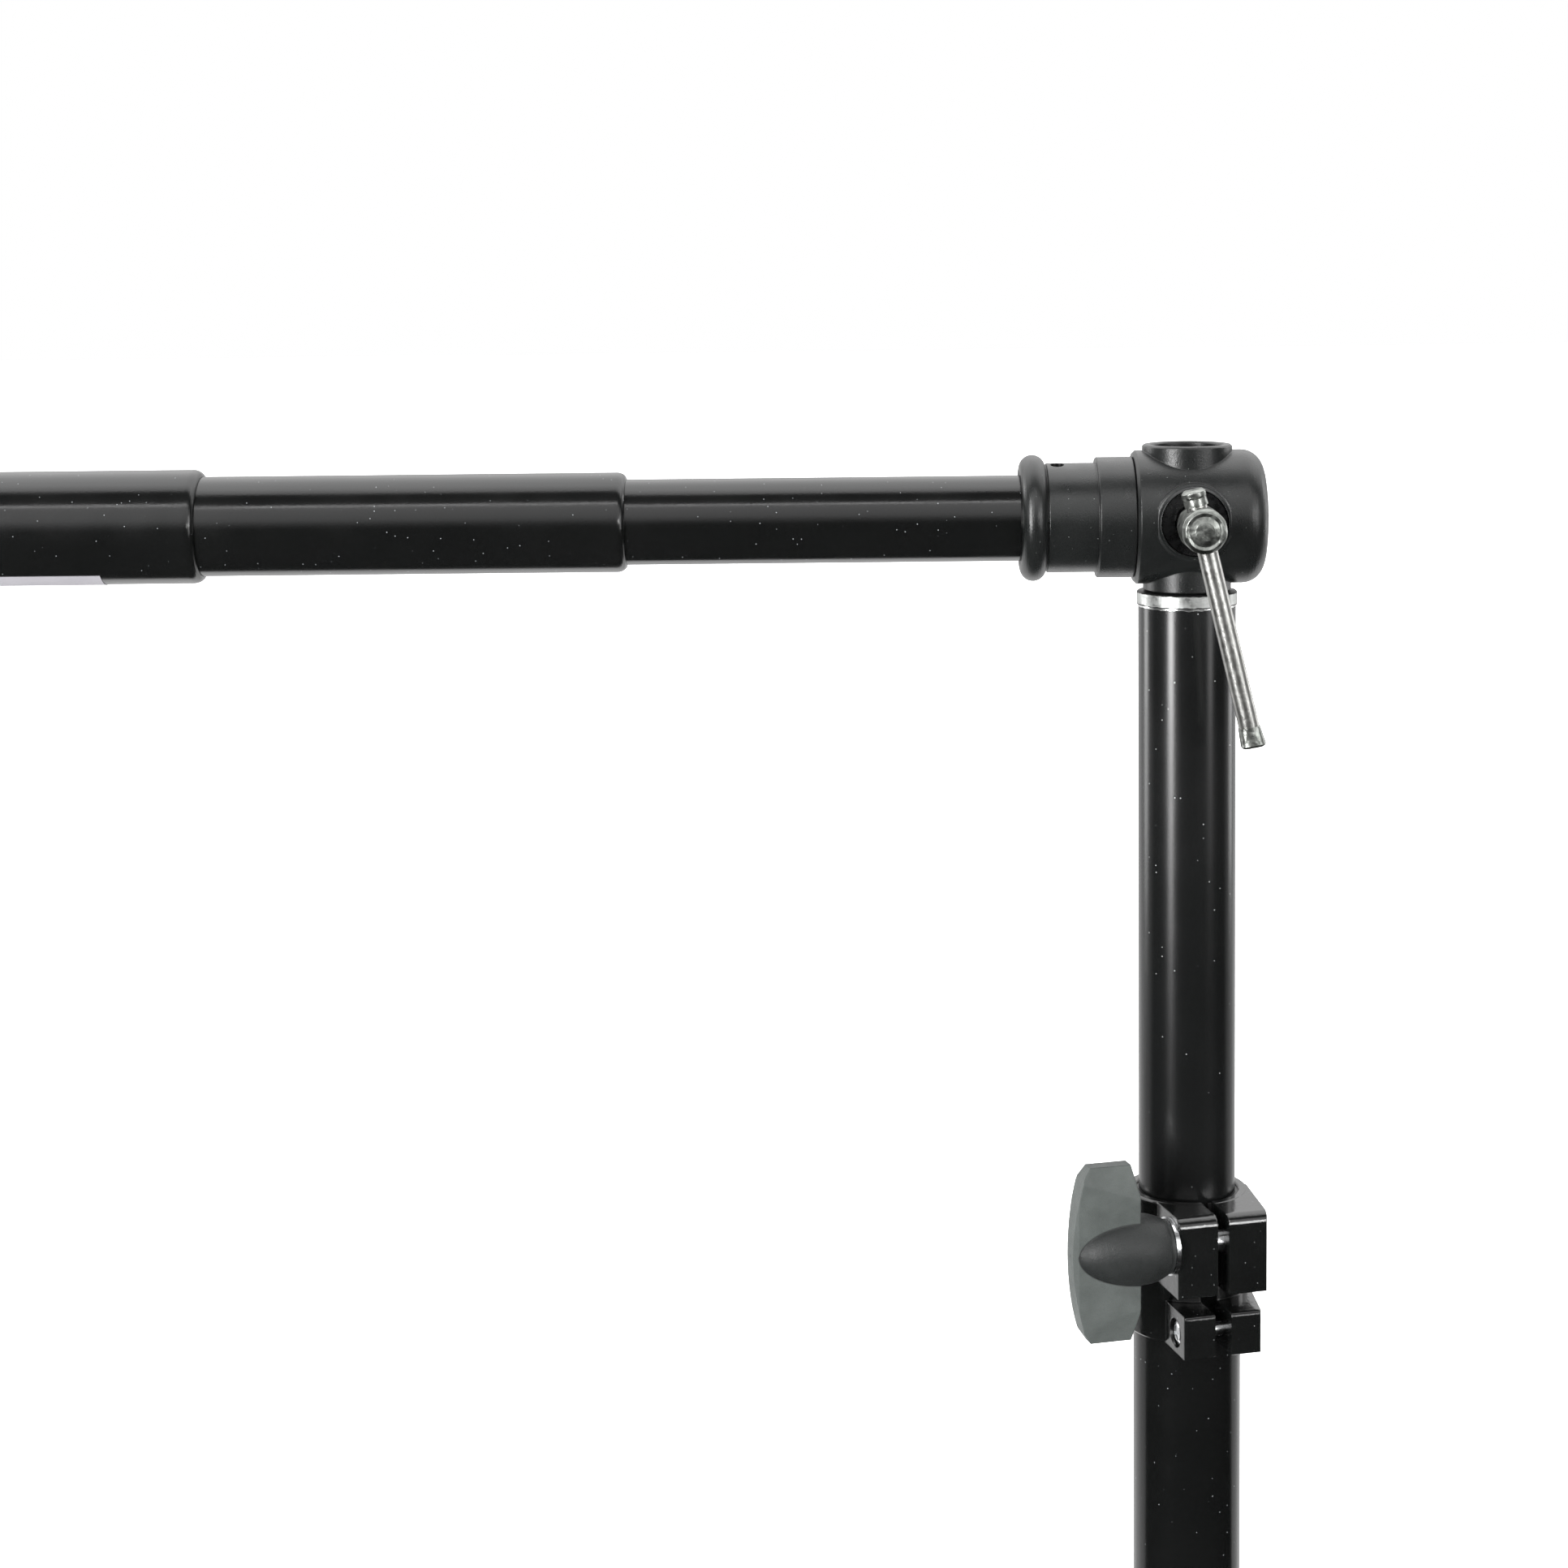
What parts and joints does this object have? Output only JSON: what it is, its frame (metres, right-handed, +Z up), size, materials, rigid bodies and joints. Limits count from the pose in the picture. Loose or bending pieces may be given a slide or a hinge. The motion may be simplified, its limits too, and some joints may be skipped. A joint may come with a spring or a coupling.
{
  "type": "lighting stand",
  "caption": "Black steel light stand with folding legs, a clamped riser, a tee head with a T-handle screw and a telescopic crossbar.",
  "frame": {"origin": "on the column's axis at floor level", "axes": "+Z up, -X along the crossbar away from the column, -Y is the front with the T-handle screw"},
  "size_m": [1.4517, 0.8221, 1.3153],
  "materials": {
    "gloss_black": "gloss",
    "satin_black": "satin",
    "cast_black": "matte",
    "end_cast": "matte",
    "bright_aluminium": "satin",
    "plated_steel": "polished",
    "cast_nickel": "satin",
    "zinc_steel": "satin",
    "black_steel": "satin",
    "brass": "satin",
    "knob_plastic": "matte",
    "white_nylon": "satin",
    "black_nylon": "satin",
    "foot_rubber": "matte"
  },
  "bodies": {
    "stand": {"hub_tube": "gloss_black", "hub_washers": "white_nylon", "hub_clamp": "gloss_black", "leg_high_sleeve": "gloss_black", "leg_high_tube": "gloss_black", "leg_high_foot": "foot_rubber", "column_tube": "gloss_black", "column_plug": "black_nylon", "collar_body": "gloss_black", "collar_bush": "black_nylon", "clamp_screw": "zinc_steel", "clamp_nut": "zinc_steel", "knob_nut": "zinc_steel"},
    "leg_mid": {"leg_mid_sleeve": "gloss_black", "leg_mid_tube": "gloss_black", "leg_mid_foot": "foot_rubber"},
    "leg_low": {"leg_low_sleeve": "gloss_black", "leg_low_tube": "gloss_black", "leg_low_foot": "foot_rubber"},
    "riser": {"riser_bush": "white_nylon", "riser_tube": "satin_black", "riser_spigot": "bright_aluminium"},
    "head": {"tee_head": "cast_black", "arm_socket": "cast_black", "set_screw": "black_steel", "screw_insert": "black_steel", "inner_arm_tube": "gloss_black", "inner_arm_spindle": "black_nylon"},
    "head_pad": {"t_pad": "brass"},
    "head_screw": {"t_screw": "cast_nickel"},
    "head_bar": {"t_bar": "plated_steel", "t_bar_caps": "cast_nickel"},
    "middle_lock": {"middle_lock_ring": "white_nylon"},
    "arm_middle": {"middle_arm_tube": "gloss_black", "middle_mouth_bush": "black_nylon", "middle_arm_spindle": "black_nylon"},
    "outer_lock": {"outer_lock_ring": "white_nylon"},
    "arm_outer": {"outer_arm_tube": "gloss_black", "outer_mouth_bush": "black_nylon", "end_spigot": "end_cast"},
    "knob_slip": {"knob_washer": "zinc_steel"},
    "knob": {"wing_knob": "knob_plastic", "knob_stud": "zinc_steel"},
    "hub_pad": {"base_pad": "brass"},
    "hub_screw": {"base_screw": "cast_nickel"},
    "hub_bar": {"base_bar": "plated_steel", "base_bar_caps": "cast_nickel"}
  },
  "joints": [
    {"name": "leg_mid_fold", "type": "hinge", "parent": "stand", "child": "leg_mid", "pos_m": [0, 0, 0.223], "axis": [0, 0, 1], "range_deg": [0, 108]},
    {"name": "leg_low_fold", "type": "hinge", "parent": "stand", "child": "leg_low", "pos_m": [0, 0, 0.191], "axis": [0, 0, 1], "range_deg": [-108, 0]},
    {"name": "riser_height", "type": "slide", "parent": "stand", "child": "riser", "axis": [0, 0, 1], "range_m": [-0.13, 0.6]},
    {"name": "head_turn", "type": "hinge", "parent": "riser", "child": "head", "pos_m": [0, 0, 1.28], "axis": [0, 0, 1], "continuous": true},
    {"name": "head_screw_travel", "type": "slide", "parent": "head", "child": "head_pad", "axis": [0, -1, 0], "range_m": [0, 0.003]},
    {"name": "head_screw_turn", "type": "hinge", "parent": "head_pad", "child": "head_screw", "pos_m": [0, -0.03, 1.29], "axis": [0, -1, 0], "range_deg": [0, 750]},
    {"name": "head_bar_slide", "type": "slide", "parent": "head_screw", "child": "head_bar", "axis": [-0.23, 0, 0.9732], "range_m": [0, 0.06]},
    {"name": "middle_twist", "type": "hinge", "parent": "head", "child": "middle_lock", "pos_m": [-0.772, 0, 1.29], "axis": [-1, 0, 0], "range_deg": [-90, 90]},
    {"name": "middle_slide", "type": "slide", "parent": "middle_lock", "child": "arm_middle", "axis": [-1, 0, 0], "range_m": [-0.13, 0.45]},
    {"name": "outer_twist", "type": "hinge", "parent": "arm_middle", "child": "outer_lock", "pos_m": [-0.958, 0, 1.29], "axis": [-1, 0, 0], "range_deg": [-90, 90]},
    {"name": "outer_slide", "type": "slide", "parent": "outer_lock", "child": "arm_outer", "axis": [-1, 0, 0], "range_m": [-0.12, 0.45]},
    {"name": "knob_travel", "type": "slide", "parent": "stand", "child": "knob_slip", "axis": [-0.9659, -0.2588, 0], "range_m": [0, 0.0025]},
    {"name": "knob_turn", "type": "hinge", "parent": "knob_slip", "child": "knob", "pos_m": [0.00704, -0.02627, 1.0391], "axis": [-0.9659, -0.2588, 0], "range_deg": [0, 750]},
    {"name": "hub_screw_travel", "type": "slide", "parent": "stand", "child": "hub_pad", "axis": [1, 0, 0], "range_m": [0, 0.003]},
    {"name": "hub_screw_turn", "type": "hinge", "parent": "hub_pad", "child": "hub_screw", "pos_m": [0.03, 0, 0.286], "axis": [1, 0, 0], "range_deg": [0, 750]},
    {"name": "hub_bar_slide", "type": "slide", "parent": "hub_screw", "child": "hub_bar", "axis": [0, 0, 1], "range_m": [0, 0.06]}
  ],
  "couplings": [
    {"joint": "head_screw_turn", "follows": "head_screw_travel", "rad_per_m": 4188.8},
    {"joint": "knob_turn", "follows": "knob_travel", "rad_per_m": 5026.5},
    {"joint": "hub_screw_turn", "follows": "hub_screw_travel", "rad_per_m": 4188.8}
  ]
}
